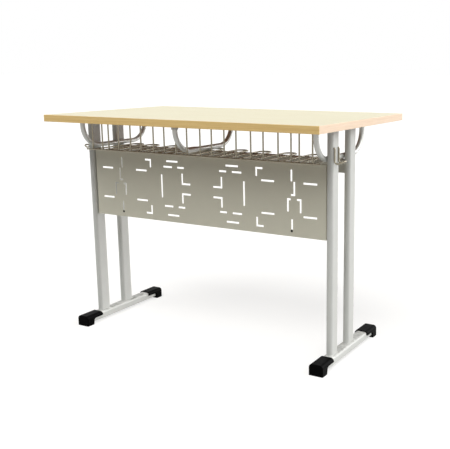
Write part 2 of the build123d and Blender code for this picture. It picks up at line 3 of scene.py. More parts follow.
import bpy
from bpy.props import FloatProperty, FloatVectorProperty, IntProperty, PointerProperty
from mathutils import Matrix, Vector


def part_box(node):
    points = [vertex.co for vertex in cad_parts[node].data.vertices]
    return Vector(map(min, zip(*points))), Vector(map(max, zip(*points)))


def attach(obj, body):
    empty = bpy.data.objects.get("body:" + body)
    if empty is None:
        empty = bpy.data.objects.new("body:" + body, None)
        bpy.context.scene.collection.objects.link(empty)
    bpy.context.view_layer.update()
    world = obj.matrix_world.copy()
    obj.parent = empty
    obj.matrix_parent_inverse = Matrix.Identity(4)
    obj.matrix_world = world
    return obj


# School table: the finish of every piece, the weld detail and the studio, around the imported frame.
# Metres, +X along the table, +Y towards the seat, +Z up.

bl_info = {
    "name": "School Table",
    "version": (1, 0, 0),
    "blender": (4, 5, 0),
    "location": "3D View > Sidebar > School Table",
    "description": "Finishes, weld detail and studio of a school table with a wire book basket",
    "category": "Object",
}

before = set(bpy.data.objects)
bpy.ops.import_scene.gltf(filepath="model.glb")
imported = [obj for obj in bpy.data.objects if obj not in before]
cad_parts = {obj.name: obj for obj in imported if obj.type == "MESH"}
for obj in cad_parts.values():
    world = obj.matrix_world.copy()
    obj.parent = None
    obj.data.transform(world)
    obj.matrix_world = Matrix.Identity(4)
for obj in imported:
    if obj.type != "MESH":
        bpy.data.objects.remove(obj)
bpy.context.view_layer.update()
MM = 0.001

SIDES = ("left", "right")
LEGS = [f"{place}_leg_{side}" for place in ("front", "rear") for side in SIDES]
LAMPS = ("front", "right", "rear")

# Places and sizes that come from the frame
BOARD_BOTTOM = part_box("tabletop_board")[0].z
RUNNER_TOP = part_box("foot_tube_left")[1].z
RAIL_LOW, RAIL_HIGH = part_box("basket_rail_back")
WIRE = RAIL_HIGH.z - RAIL_LOW.z

# Angle above +Y at which the basket's front rail touches the bends of the other wires
FRONT_RAIL_LEAN = math.radians(35)

# Weld metal: the range of sizes as shares of the width that is set, how far a ripple is squeezed along
# its bead, and the usual width of a spot as a share of the wire
RIPPLE_SIZES = (0.86, 1.08)
SPOT_SIZES = (0.8, 1.15)
RIPPLE_SQUEEZE = 0.62
SPOT_SHARE = 0.62

# Where most values of a soft noise lie
NOISE_SPAN = (0.3, 0.7)


def srgb(red, green, blue):
    """A colour given as screen values from 0 to 255, as the linear values that shaders use."""
    shares = [value / 255 for value in (red, green, blue)]
    return tuple(((share + 0.055) / 1.055) ** 2.4 if share > 0.04045 else share / 12.92 for share in shares)


def color_setting(name, description, red, green, blue):
    """A colour that the user can change."""
    return FloatVectorProperty(
        name=name, description=description, subtype="COLOR", size=3, min=0, max=1,
        default=srgb(red, green, blue),
    )


def length_setting(name, description, default):
    """A length that the user can change."""
    return FloatProperty(
        name=name, description=description, unit="LENGTH", default=default, min=0, precision=5
    )


def share_setting(name, description, default):
    """A value from 0 to 1 that the user can change."""
    return FloatProperty(name=name, description=description, subtype="FACTOR", default=default, min=0, max=1)


def strength_setting(name, strength):
    """The strength of a lamp that the user can change."""
    return FloatProperty(name=name, description="Strength of the lamp", default=strength, min=0)


def direction_setting(name, turn, rise):
    """Where a lamp's light comes from: degrees from -Y towards +X, and degrees above the horizon."""
    turn, rise = math.radians(turn), math.radians(rise)
    source = (math.sin(turn) * math.cos(rise), -math.cos(turn) * math.cos(rise), math.sin(rise))
    return FloatVectorProperty(
        name=name, description="Where its light comes from", subtype="DIRECTION", default=source
    )


class TopSettings(bpy.types.PropertyGroup):
    """Laminated board and its edging."""

    face: color_setting("Face", "Laminate on the top", 221, 216, 191)
    face_grain: color_setting("Face grain", "Darker lines in the laminate", 211, 202, 170)
    back: color_setting("Back", "Balancing sheet under the board", 150, 92, 34)
    long_band: color_setting("Long edging", "Edging on the long edges", 246, 214, 148)
    long_band_grain: color_setting("Long edging grain", "Darker lines in it", 217, 180, 112)
    # The ends' edging is paler than the long edging: a painted sheen, the glossy reflection on the lit right
    # end, put into its colour
    sheen_lit_short_band: color_setting("Short edging", "Edging on the two ends", 250, 226, 201)
    sheen_lit_short_band_grain: color_setting("Short edging grain", "Darker lines in it", 232, 202, 172)
    gloss: share_setting("Roughness", "Roughness of the laminate", 0.45)
    grain_length: length_setting("Grain length", "Length of the figure along the fibres", 0.22)
    grain_width: length_setting("Grain width", "Width of the figure across the fibres", 0.006)


class PaintSettings(bpy.types.PropertyGroup):
    """Powder-coated steel."""

    tubes: color_setting("Tubes", "Legs, runners, bent tubes and beam", 210, 211, 207)
    panel: color_setting("Panel", "Slotted front panel", 221, 218, 200)
    # Darker and browner than the tubes: partly the wires' own paint, partly painted shade from the board
    # above the basket
    wires: color_setting("Wires", "Basket and bag hooks", 168, 161, 142)
    # Colour along arrises: thin paint, and a painted edge highlight where it is lighter than the paint
    thin: color_setting("Thin paint", "Paint pulled thin over an arris", 205, 205, 202)
    dust: color_setting("Dust", "Dust that settles on level faces", 140, 139, 134)
    roughness: share_setting("Roughness", "Roughness of the paint on tubes and panel", 0.38)
    wire_roughness: share_setting("Wire roughness", "Roughness of the paint on wires", 0.17)
    peel: length_setting("Orange peel", "Spacing of the ripple in the paint", 0.0022)
    arris: length_setting("Arris", "Width of the thin paint along an edge", 0.0008)


class PlasticSettings(bpy.types.PropertyGroup):
    """Moulded caps and plugs."""

    body: color_setting("Body", "Black moulded plastic", 4, 4, 4)
    scuff: color_setting("Scuff", "Rubbed edges and soles", 22, 22, 21)
    roughness: share_setting("Roughness", "Roughness of the moulding", 0.42)
    grain: length_setting("Grain", "Spacing of the mould's texture", 0.0009)
    scuff_height: length_setting("Scuff height", "Height above the floor that shows rubbing", 0.006)


class ZincSettings(bpy.types.PropertyGroup):
    """Plated fasteners, spacers and clips."""

    bright: color_setting("Bright", "Fresh plating", 196, 197, 196)
    tinted: color_setting("Tinted", "Passivated plating", 184, 180, 160)
    roughness: share_setting("Roughness", "Roughness of the plating", 0.34)


class WeldSettings(bpy.types.PropertyGroup):
    """Welds between tubes and between wires."""

    bead: length_setting("Bead width", "Width of a bead along a tube", 0.0032)
    pitch: length_setting("Bead pitch", "Distance between the ripples of a bead", 0.0015)
    spot: length_setting("Spot width", "Width of the weld where two wires cross", WIRE * SPOT_SHARE)
    seed: IntProperty(name="Seed", description="Start of the random sizes", default=7)


class StudioSettings(bpy.types.PropertyGroup):
    """Floor, camera and lamps."""

    floor: color_setting("Floor", "Plain pale floor", 168, 167, 164)
    camera_place: FloatVectorProperty(
        name="Camera", description="Place of the lens", subtype="TRANSLATION", unit="LENGTH",
        default=(1.38313, -2.01033, 0.88288),
    )
    camera_turn: FloatProperty(
        name="Turn", description="Turn from +Y towards -X", subtype="ANGLE", default=math.radians(27.99)
    )
    camera_dip: FloatProperty(
        name="Dip", description="Angle below the horizon", subtype="ANGLE", default=math.radians(11.36)
    )
    focal_length: FloatProperty(name="Focal length", description="Lens in millimetres", default=59.01)
    shift_x: FloatProperty(name="Shift X", description="Framing, as a share of the width", default=-0.1898)
    shift_y: FloatProperty(name="Shift Y", description="Framing, as a share of the width", default=-0.0224)
    ambient: FloatProperty(name="Ambient", description="Even light from all round", default=0.0, min=0)
    front_light: strength_setting("Front light", 2.68)
    front_from: direction_setting("Front lamp", 0, 62)
    right_light: strength_setting("Right light", 1.05)
    right_from: direction_setting("Right lamp", 95, 35)
    rear_light: strength_setting("Rear light", 2.25)
    rear_from: direction_setting("Rear lamp", 140, 20)
    softness: FloatProperty(
        name="Softness", description="Angle across each lamp", subtype="ANGLE", default=math.radians(50)
    )
    floor_lift: share_setting("Floor lift", "White that the camera sees added to the floor", 0.66)


class SchoolTableSettings(bpy.types.PropertyGroup):
    """Everything that the user can change."""

    top: PointerProperty(type=TopSettings)
    paint: PointerProperty(type=PaintSettings)
    plastic: PointerProperty(type=PlasticSettings)
    zinc: PointerProperty(type=ZincSettings)
    weld: PointerProperty(type=WeldSettings)
    studio: PointerProperty(type=StudioSettings)


def settings():
    """The settings of the open scene."""
    return bpy.context.scene.school_table


# Small helpers for node trees


def join(tree, target, value):
    """Feed a socket from another one, or set it to a plain value."""
    if isinstance(value, bpy.types.NodeSocket):
        tree.links.new(value, target)
    else:
        target.default_value = value


def add(tree, kind, options=None, **values):
    """Add a node, set its options and fill its inputs, which are named with _ for a space."""
    node = tree.nodes.new(kind)
    for name, option in (options or {}).items():
        setattr(node, name, option)
    for name, value in values.items():
        join(tree, node.inputs[name.replace("_", " ")], value)
    return node


def math_node(tree, operation, first, second):
    """Result of one sum."""
    node = tree.nodes.new("ShaderNodeMath")
    node.operation = operation
    join(tree, node.inputs[0], first)
    join(tree, node.inputs[1], second)
    return node.outputs[0]


def by_identifier(sockets, identifier):
    """The socket with this identifier, on a node that names several of them alike."""
    return next(socket for socket in sockets if socket.identifier == identifier)


def blended(tree, share, first, second):
    """Colour between two colours."""
    node = add(tree, "ShaderNodeMix", {"data_type": "RGBA"})
    join(tree, by_identifier(node.inputs, "Factor_Float"), share)
    join(tree, by_identifier(node.inputs, "A_Color"), first)
    join(tree, by_identifier(node.inputs, "B_Color"), second)
    return by_identifier(node.outputs, "Result_Color")


def noise(tree, vector, scale, detail=2.0, roughness=0.5):
    """Soft random values from 0 to 1."""
    node = add(tree, "ShaderNodeTexNoise", Vector=vector, Scale=scale, Detail=detail, Roughness=roughness)
    return node.outputs[0]


def spread(tree, value, low, high, to_low=0.0, to_high=1.0):
    """Stretch a range of values to another one, cut off at its ends."""
    node = add(
        tree, "ShaderNodeMapRange", Value=value, From_Min=low, From_Max=high, To_Min=to_low, To_Max=to_high
    )
    return node.outputs[0]


def rgba(color):
    """A colour with the alpha that colour sockets want."""
    return (*color, 1.0)


def new_group(name, kind, inputs, outputs):
    """Node group with named sockets, and its two ends."""
    group = bpy.data.node_groups.new(name, kind)
    for label, socket_type, default in inputs:
        socket = group.interface.new_socket(label, in_out="INPUT", socket_type=socket_type)
        if default is not None:
            socket.default_value = default
    for label, socket_type in outputs:
        group.interface.new_socket(label, in_out="OUTPUT", socket_type=socket_type)
    return group, group.nodes.new("NodeGroupInput"), group.nodes.new("NodeGroupOutput")


def placed_group(tree, group, **values):
    """A shader group placed in a material with its own values."""
    node = tree.nodes.new("ShaderNodeGroup")
    node.node_tree = group
    for name, value in values.items():
        join(tree, node.inputs[name.replace("_", " ")], value)
    return node


FLOAT = "NodeSocketFloat"
COLOR = "NodeSocketColor"
VECTOR = "NodeSocketVector"


def built_once(builder):
    """Keep the first result of a group's builder for every later material."""
    made = {}

    def fetch():
        if "group" not in made:
            made["group"] = builder()
        return made["group"]

    return fetch


@built_once
def wood_figure():
    """Printed wood: broad figure, fine fibres and short pores along the group's X."""
    group, start, end = new_group(
        "wood_figure",
        "ShaderNodeTree",
        [
            ("Vector", VECTOR, None),
            ("Light", COLOR, (0.8, 0.7, 0.5, 1.0)),
            ("Dark", COLOR, (0.6, 0.5, 0.3, 1.0)),
            ("Contrast", FLOAT, 1.0),
            ("Roughness", FLOAT, 0.35),
        ],
        [("Color", COLOR), ("Roughness", FLOAT), ("Height", FLOAT)],
    )
    place = start.outputs["Vector"]
    warp = noise(group, place, scale=0.7)
    bent = add(group, "ShaderNodeVectorMath", {"operation": "ADD"})
    join(group, bent.inputs[0], place)
    join(group, bent.inputs[1], warp)
    figure = noise(group, bent.outputs[0], scale=1.0, detail=5.0, roughness=0.62)
    fibres = noise(group, bent.outputs[0], scale=6.0, detail=3.0, roughness=0.7)
    broad = spread(group, figure, 0.34, 0.68)
    fine = spread(group, fibres, 0.38, 0.66)
    broad_part = math_node(group, "MULTIPLY", broad, 0.6)
    fine_part = math_node(group, "MULTIPLY", fine, 0.4)
    both = math_node(group, "ADD", broad_part, fine_part)
    share = math_node(group, "MULTIPLY", both, start.outputs["Contrast"])
    color = blended(group, share, start.outputs["Light"], start.outputs["Dark"])
    join(group, end.inputs["Color"], color)
    unevenness = spread(group, fine, 0.0, 1.0, to_low=-0.03, to_high=0.05)
    rough = math_node(group, "ADD", start.outputs["Roughness"], unevenness)
    join(group, end.inputs["Roughness"], rough)
    join(group, end.inputs["Height"], fine)
    return group


@built_once
def powder_coat():
    """Baked paint: orange peel, slight mottling, and dust on faces that look up; with a large dust share the
    darker dust also stands in for painted shade.
    """
    group, start, end = new_group(
        "powder_coat",
        "ShaderNodeTree",
        [
            ("Vector", VECTOR, None),
            ("Paint", COLOR, (0.5, 0.5, 0.5, 1.0)),
            ("Dust", COLOR, (0.6, 0.6, 0.5, 1.0)),
            ("Dust Share", FLOAT, 0.25),
            ("Peel Scale", FLOAT, 450.0),
            ("Roughness", FLOAT, 0.4),
        ],
        [("Color", COLOR), ("Roughness", FLOAT), ("Height", FLOAT)],
    )
    place = start.outputs["Vector"]
    clouds = noise(group, place, scale=11.0, detail=4.0, roughness=0.6)
    grains = noise(group, place, scale=1400.0, detail=1.0)
    drifts = noise(group, place, scale=55.0, detail=5.0, roughness=0.7)
    peel = noise(group, place, start.outputs["Peel Scale"], roughness=0.45)
    mottling = spread(group, clouds, *NOISE_SPAN, to_low=0.975, to_high=1.02)
    speckle = spread(group, grains, *NOISE_SPAN, to_low=-0.015, to_high=0.015)
    shade = math_node(group, "ADD", mottling, speckle)
    hue = add(group, "ShaderNodeHueSaturation", Color=start.outputs["Paint"], Value=shade)
    normal = add(group, "ShaderNodeNewGeometry").outputs["Normal"]
    upward = add(group, "ShaderNodeSeparateXYZ", Vector=normal).outputs["Z"]
    level = spread(group, upward, 0.55, 0.98)
    settled = math_node(group, "MULTIPLY", level, spread(group, drifts, 0.35, 0.75))
    dust_and_shade = math_node(group, "MULTIPLY", settled, start.outputs["Dust Share"])
    join(group, end.inputs["Color"], blended(group, dust_and_shade, hue.outputs[0], start.outputs["Dust"]))
    unevenness = spread(group, clouds, *NOISE_SPAN, to_low=-0.03, to_high=0.05)
    rough = math_node(group, "ADD", start.outputs["Roughness"], unevenness)
    dulling = math_node(group, "MULTIPLY", dust_and_shade, 0.4)
    join(group, end.inputs["Roughness"], math_node(group, "ADD", rough, dulling))
    join(group, end.inputs["Height"], peel)
    return group


@built_once
def worn_arris():
    """Mask that is 1 along sharp outer edges, broken up by noise: thin paint or rubbing there, and a painted
    highlight along each arris.
    """
    group, start, end = new_group(
        "worn_arris",
        "ShaderNodeTree",
        [
            ("Vector", VECTOR, None),
            ("Width", FLOAT, 0.001),
            ("Amount", FLOAT, 0.5),
            ("Grain Scale", FLOAT, 220.0),
        ],
        [("Mask", FLOAT)],
    )
    rounded = add(group, "ShaderNodeBevel", {"samples": 4}, Radius=start.outputs["Width"]).outputs[0]
    plain = add(group, "ShaderNodeNewGeometry").outputs["Normal"]
    agreement = add(group, "ShaderNodeVectorMath", {"operation": "DOT_PRODUCT"})
    join(group, agreement.inputs[0], rounded)
    join(group, agreement.inputs[1], plain)
    edge = spread(group, agreement.outputs["Value"], 0.998, 0.90)
    grain = noise(group, start.outputs["Vector"], start.outputs["Grain Scale"], detail=4.0, roughness=0.65)
    patches = spread(group, grain, 0.35, 0.62)
    mask = math_node(group, "MULTIPLY", edge, patches)
    join(group, end.inputs["Mask"], math_node(group, "MULTIPLY", mask, start.outputs["Amount"]))
    return group


@built_once
def moulded_skin():
    """Spark-eroded mould texture, slightly shinier in its hollows."""
    group, start, end = new_group(
        "moulded_skin",
        "ShaderNodeTree",
        [("Vector", VECTOR, None), ("Grain Scale", FLOAT, 1100.0), ("Roughness", FLOAT, 0.45)],
        [("Roughness", FLOAT), ("Height", FLOAT)],
    )
    pits = noise(group, start.outputs["Vector"], start.outputs["Grain Scale"], detail=3.0, roughness=0.6)
    flow = noise(group, start.outputs["Vector"], scale=30.0, detail=3.0)
    pitted = spread(group, pits, *NOISE_SPAN, to_low=-0.06, to_high=0.06)
    flowed = spread(group, flow, *NOISE_SPAN, to_low=-0.04, to_high=0.05)
    rough = math_node(group, "ADD", start.outputs["Roughness"], pitted)
    rough = math_node(group, "ADD", rough, flowed)
    join(group, end.inputs["Roughness"], rough)
    join(group, end.inputs["Height"], pits)
    return group


# Materials


def start_material(name, **constants):
    """New material: its tree, its shader with plain values set, and the place on the piece."""
    material = bpy.data.materials.new(name)
    material.use_nodes = True
    tree = material.node_tree
    shader = tree.nodes["Principled BSDF"]
    for label, value in constants.items():
        shader.inputs[label.replace("_", " ")].default_value = value
    place = tree.nodes.new("ShaderNodeTexCoord").outputs["Object"]
    return material, tree, shader, place


def bump_from(tree, shader, height, distance):
    """Fine relief on the shader's normal."""
    bump = add(tree, "ShaderNodeBump", Strength=1.0, Distance=distance, Height=height)
    join(tree, shader.inputs["Normal"], bump.outputs["Normal"])


def scaled_place(tree, place, size):
    """The place measured in pattern sizes instead of metres."""
    mapping = add(tree, "ShaderNodeMapping", Vector=place)
    mapping.inputs["Scale"].default_value = [1 / length for length in size]
    return mapping.outputs["Vector"]


def laminate():
    """The board: printed laminate above, plain balancing sheet below."""
    top = settings().top
    material, tree, shader, place = start_material("laminate_board", Specular_IOR_Level=0.15)
    grain = scaled_place(tree, place, (top.grain_length, top.grain_width * 2, top.grain_width))
    figure = placed_group(
        tree, wood_figure(), Vector=grain, Light=rgba(top.face), Dark=rgba(top.face_grain), Contrast=0.8,
        Roughness=top.gloss,
    )
    height = add(tree, "ShaderNodeSeparateXYZ", Vector=place).outputs["Z"]
    above = spread(tree, height, BOARD_BOTTOM + MM / 2, BOARD_BOTTOM + MM)
    join(tree, shader.inputs["Base Color"], blended(tree, above, rgba(top.back), figure.outputs["Color"]))
    join(tree, shader.inputs["Roughness"], figure.outputs["Roughness"])
    bump_from(tree, shader, figure.outputs["Height"], 0.02 * MM)
    return material


def edging(name, light, dark, lengthwise_x):
    """Wood-grain edging strip with the grain along the strip."""
    top = settings().top
    material, tree, shader, place = start_material(name, Specular_IOR_Level=0.4)
    across = top.grain_width / 3
    size = (top.grain_length, across * 2, across) if lengthwise_x else (across * 2, top.grain_length, across)
    figure = placed_group(
        tree, wood_figure(), Vector=scaled_place(tree, place, size), Light=rgba(light), Dark=rgba(dark),
        Contrast=1.0, Roughness=top.gloss + 0.05,
    )
    join(tree, shader.inputs["Base Color"], figure.outputs["Color"])
    join(tree, shader.inputs["Roughness"], figure.outputs["Roughness"])
    bump_from(tree, shader, figure.outputs["Height"], 0.03 * MM)
    return material


def paint(name, color, roughness, dust_share=0.3, peel_depth=0.02, flake=0.0):
    """Powder-coated steel in one colour, with or without metal flake."""
    coat = settings().paint
    material, tree, shader, place = start_material(name, Metallic=flake, Specular_IOR_Level=0.3)
    skin = placed_group(
        tree, powder_coat(), Vector=place, Paint=rgba(color), Dust=rgba(coat.dust), Dust_Share=dust_share,
        Peel_Scale=1 / coat.peel, Roughness=roughness,
    )
    # Arris colour: thin paint and a painted edge highlight
    wear_and_highlight = placed_group(tree, worn_arris(), Vector=place, Width=coat.arris, Amount=0.35)
    color = blended(tree, wear_and_highlight.outputs["Mask"], skin.outputs["Color"], rgba(coat.thin))
    join(tree, shader.inputs["Base Color"], color)
    join(tree, shader.inputs["Roughness"], skin.outputs["Roughness"])
    bump_from(tree, shader, skin.outputs["Height"], peel_depth * MM)
    return material


def black_plastic():
    """Moulded caps: fine grain, lighter where they rub."""
    plastic = settings().plastic
    material, tree, shader, place = start_material("black_moulding", Specular_IOR_Level=0.02)
    skin = placed_group(
        tree, moulded_skin(), Vector=place, Grain_Scale=1 / plastic.grain, Roughness=plastic.roughness
    )
    # Lighter edges: rubbing and a painted edge highlight
    wear_and_highlight = placed_group(tree, worn_arris(), Vector=place, Width=MM, Amount=0.35, Grain_Scale=300.0)
    height = add(tree, "ShaderNodeSeparateXYZ", Vector=place).outputs["Z"]
    low = spread(tree, height, plastic.scuff_height, 0.0)
    level_marks = scaled_place(tree, place, (4 * MM, 4 * MM, MM))
    streaks = noise(tree, level_marks, scale=1.0, detail=4.0, roughness=0.7)
    rubbed = math_node(tree, "MULTIPLY", low, spread(tree, streaks, 0.45, 0.75, to_high=0.6))
    share = math_node(tree, "MAXIMUM", wear_and_highlight.outputs["Mask"], rubbed)
    join(tree, shader.inputs["Base Color"], blended(tree, share, rgba(plastic.body), rgba(plastic.scuff)))
    join(tree, shader.inputs["Roughness"], skin.outputs["Roughness"])
    bump_from(tree, shader, skin.outputs["Height"], 0.03 * MM)
    return material


def zinc_plate():
    """Bright zinc with patches of passivation."""
    zinc = settings().zinc
    material, tree, shader, place = start_material("zinc_plate", Metallic=1.0)
    patches = spread(tree, noise(tree, place, scale=160.0, detail=4.0, roughness=0.6), 0.35, 0.65)
    long_marks = scaled_place(tree, place, (MM / 2, 6 * MM, 6 * MM))
    scratches = noise(tree, long_marks, scale=1.0, detail=3.0, roughness=0.6)
    join(tree, shader.inputs["Base Color"], blended(tree, patches, rgba(zinc.bright), rgba(zinc.tinted)))
    unevenness = spread(tree, scratches, *NOISE_SPAN, to_low=-0.05, to_high=0.10)
    rough = math_node(tree, "ADD", unevenness, zinc.roughness)
    join(tree, shader.inputs["Roughness"], rough)
    bump_from(tree, shader, scratches, 0.01 * MM)
    return material


def dress(material, nodes):
    """Give construction pieces their finish."""
    for name in nodes:
        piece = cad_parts[name]
        if not piece.material_slots:
            piece.data.materials.append(material)
        for slot in piece.material_slots:
            slot.material = material


def nodes_named(*starts):
    """The construction pieces whose names start with one of these words."""
    return sorted(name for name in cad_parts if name.startswith(starts))


# Weld detail


def geometry_tree(name, inputs):
    """Geometry node tree with a mesh in, a mesh out and named sizes."""
    return new_group(
        name,
        "GeometryNodeTree",
        [("Geometry", "NodeSocketGeometry", None), *inputs, ("Material", "NodeSocketMaterial", None)],
        [("Geometry", "NodeSocketGeometry")],
    )


def finish_tree(tree, start, end, instances):
    """Real, smooth geometry with its material, out of the tree."""
    real = add(tree, "GeometryNodeRealizeInstances", Geometry=instances)
    smooth = add(tree, "GeometryNodeSetShadeSmooth", Geometry=real.outputs[0])
    painted = add(
        tree, "GeometryNodeSetMaterial", Geometry=smooth.outputs[0], Material=start.outputs["Material"]
    )
    join(tree, end.inputs["Geometry"], painted.outputs[0])
    return tree


def random_size(tree, seed, low, high):
    """A different size for each copy."""
    node = add(tree, "FunctionNodeRandomValue", {"data_type": "FLOAT"})
    join(tree, by_identifier(node.inputs, "Min_001"), low)
    join(tree, by_identifier(node.inputs, "Max_001"), high)
    join(tree, by_identifier(node.inputs, "Seed"), seed)
    return by_identifier(node.outputs, "Value_001")


def bead_tree():
    """Ripples of weld metal, one beside the other along each line of the mesh."""
    tree, start, end = geometry_tree(
        "weld_bead", [("Width", FLOAT, 0.003), ("Pitch", FLOAT, 0.0015), ("Seed", "NodeSocketInt", 1)]
    )
    curve = add(tree, "GeometryNodeMeshToCurve", Mesh=start.outputs["Geometry"])
    points = add(
        tree, "GeometryNodeResampleCurve", {"mode": "LENGTH"},
        Curve=curve.outputs[0], Length=start.outputs["Pitch"],
    )
    ripple = add(tree, "GeometryNodeMeshUVSphere", Segments=8, Rings=6)
    join(tree, ripple.inputs["Radius"], math_node(tree, "MULTIPLY", start.outputs["Width"], 0.5))
    tangent = add(tree, "GeometryNodeInputTangent").outputs[0]
    turn = add(tree, "FunctionNodeAlignRotationToVector", {"axis": "X"}, Vector=tangent)
    size = random_size(tree, start.outputs["Seed"], *RIPPLE_SIZES)
    squeezed = math_node(tree, "MULTIPLY", size, RIPPLE_SQUEEZE)
    flat = add(tree, "ShaderNodeCombineXYZ", X=squeezed, Y=size, Z=size)
    copies = add(
        tree, "GeometryNodeInstanceOnPoints", Points=points.outputs[0], Instance=ripple.outputs["Mesh"],
        Rotation=turn.outputs[0], Scale=flat.outputs[0],
    )
    return finish_tree(tree, start, end, copies.outputs[0])


def spot_tree():
    """A small nugget of weld metal at each point of the mesh."""
    tree, start, end = geometry_tree("weld_spots", [("Width", FLOAT, 0.003), ("Seed", "NodeSocketInt", 1)])
    nugget = add(tree, "GeometryNodeMeshUVSphere", Segments=10, Rings=6)
    join(tree, nugget.inputs["Radius"], math_node(tree, "MULTIPLY", start.outputs["Width"], 0.5))
    size = random_size(tree, start.outputs["Seed"], *SPOT_SIZES)
    copies = add(
        tree, "GeometryNodeInstanceOnPoints", Points=start.outputs["Geometry"],
        Instance=nugget.outputs["Mesh"], Scale=size,
    )
    return finish_tree(tree, start, end, copies.outputs[0])


def made_by_tree(name, points, edges, tree, **values):
    """A piece that a tree grows from points and edges, kept as a plain mesh."""
    source = bpy.data.meshes.new(name)
    source.from_pydata(points, edges, [])
    piece = bpy.data.objects.new(name, source)
    bpy.context.scene.collection.objects.link(piece)
    modifier = piece.modifiers.new("grow", "NODES")
    modifier.node_group = tree
    for item in tree.interface.items_tree:
        label = item.name.lower()
        if item.in_out == "INPUT" and label in values:
            modifier[item.identifier] = values[label]
    grown = bpy.data.meshes.new_from_object(piece.evaluated_get(bpy.context.evaluated_depsgraph_get()))
    piece.modifiers.clear()
    piece.data = grown
    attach(piece, "root")
    return piece


def middle(node):
    """Middle of a construction piece's box."""
    low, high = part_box(node)
    return (low + high) / 2


def oval_loop(node, z, stand_off):
    """Line round a flat-oval leg at one height."""
    low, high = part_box(node)
    radius = (high.x - low.x) / 2
    straight = (high.y - low.y) / 2 - radius
    reach = radius + stand_off
    centre = middle(node)
    steps = 16
    points = []
    for half, turn in ((1, 0), (-1, math.pi)):
        for step in range(steps + 1):
            angle = turn + math.pi * step / steps
            x = centre.x + reach * math.cos(angle)
            y = centre.y + half * straight + reach * math.sin(angle)
            points.append((x, y, z))
    return points


def round_loop(x, y, z, radius):
    """Line round a round tube at one height."""
    steps = 24
    turns = [2 * math.pi * step / steps for step in range(steps)]
    return [(x + radius * math.cos(turn), y + radius * math.sin(turn), z) for turn in turns]


def box_loop(x, low, high):
    """Line round the beam at one place along it."""
    return [(x, low.y, low.z), (x, high.y, low.z), (x, high.y, high.z), (x, low.y, high.z)]


def bead_lines():
    """Every closed line that a bead follows, as points and edges."""
    inset = 0.5 * MM
    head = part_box("top_bar_left")[0].z - inset
    loops = [oval_loop(leg, RUNNER_TOP + inset, inset) for leg in LEGS]
    loops += [oval_loop(leg, head, inset) for leg in LEGS]
    for side in SIDES:
        low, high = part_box(f"bow_tube_{side}")
        radius = (high.x - low.x) / 2
        for y in (low.y + radius, high.y - radius):
            loops.append(round_loop((low.x + high.x) / 2, y, head, radius + inset))
    low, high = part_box("cross_beam")
    loops += [box_loop(low.x + inset, low, high), box_loop(high.x - inset, low, high)]
    points, edges = [], []
    for loop in loops:
        first = len(points)
        points += loop
        edges += [(first + i, first + (i + 1) % len(loop)) for i in range(len(loop))]
    return points, edges


def spot_places():
    """Where the wires of the basket are welded to each other and to the beam."""
    lines = []
    for node in nodes_named("basket_hairpin"):
        low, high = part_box(node)
        lines += [low.x + WIRE / 2, high.x - WIRE / 2]
    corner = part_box("basket_hairpin_01")[0]
    beam_low, beam_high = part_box("cross_beam")
    front = middle("basket_rail_front")
    front_y = front.y + math.cos(FRONT_RAIL_LEAN) * WIRE / 2
    front_z = front.z + math.sin(FRONT_RAIL_LEAN) * WIRE / 2
    contacts = [
        (middle("basket_rail_back").y, corner.z),
        (beam_low.y + MM, corner.z),
        (beam_high.y - MM, corner.z),
        (front_y, front_z),
        (corner.y + WIRE, middle("basket_rail_top").z),
    ]
    return [(x, y, z) for x in lines for y, z in contacts]


# Operators


class SCHOOLTABLE_OT_board(bpy.types.Operator):
    """Laminate on the board and wood-grain edging round it"""

    bl_idname = "school_table.board"
    bl_label = "Board and edging"

    def execute(self, context):
        top = settings().top
        dress(laminate(), ["tabletop_board"])
        long_edging = edging("edging_long", top.long_band, top.long_band_grain, True)
        dress(long_edging, ["edge_band_front", "edge_band_rear"])
        # Paler end edging: the painted sheen of the lit right end, given to both ends
        sheen_lit_short_edging = edging("edging_short", top.sheen_lit_short_band, top.sheen_lit_short_band_grain, False)
        dress(sheen_lit_short_edging, ["edge_band_left", "edge_band_right"])
        return {"FINISHED"}


class SCHOOLTABLE_OT_tubes(bpy.types.Operator):
    """Paint on the legs, runners, bent tubes, bars, sockets and beam"""

    bl_idname = "school_table.tubes"
    bl_label = "Tube frame"

    def execute(self, context):
        coat = settings().paint
        plain = paint("tube_paint", coat.tubes, coat.roughness)
        dress(plain, LEGS + nodes_named("top_bar", "bow_socket"))
        flaked = paint("bow_paint", coat.tubes, coat.roughness, flake=0.35)
        dress(flaked, nodes_named("bow_tube"))
        # Heavy dust share: dust on the runners; on the beam it is also painted shade, darkening the beam's
        # top where it lies in deep shade under the basket
        dust_and_shade = paint("dusty_paint", coat.tubes, coat.roughness, dust_share=0.9)
        dress(dust_and_shade, nodes_named("foot_tube", "cross_beam"))
        return {"FINISHED"}


class SCHOOLTABLE_OT_panel(bpy.types.Operator):
    """Paint on the slotted front panel"""

    bl_idname = "school_table.front_panel"
    bl_label = "Front panel"

    def execute(self, context):
        coat = settings().paint
        finish = paint("panel_paint_finish", coat.panel, coat.roughness, dust_share=0.4, peel_depth=0.015)
        dress(finish, ["modesty_panel"])
        return {"FINISHED"}


class SCHOOLTABLE_OT_basket(bpy.types.Operator):
    """Paint on the basket's wires and the bag hooks, and the spot welds of the basket"""

    bl_idname = "school_table.basket"
    bl_label = "Basket and hooks"

    def execute(self, context):
        weld = settings().weld
        coat = settings().paint
        # The wire colour holds painted shade as well as the wires' own paint
        finish = paint(
            "wire_paint_finish", coat.wires, coat.wire_roughness, dust_share=0.1, peel_depth=0.01, flake=0.4
        )
        dress(finish, nodes_named("basket_hairpin", "basket_rail", "bag_hook"))
        spots = made_by_tree(
            "basket_spot_welds", spot_places(), [], spot_tree(), width=weld.spot, seed=weld.seed,
            material=finish,
        )
        return {"FINISHED"}


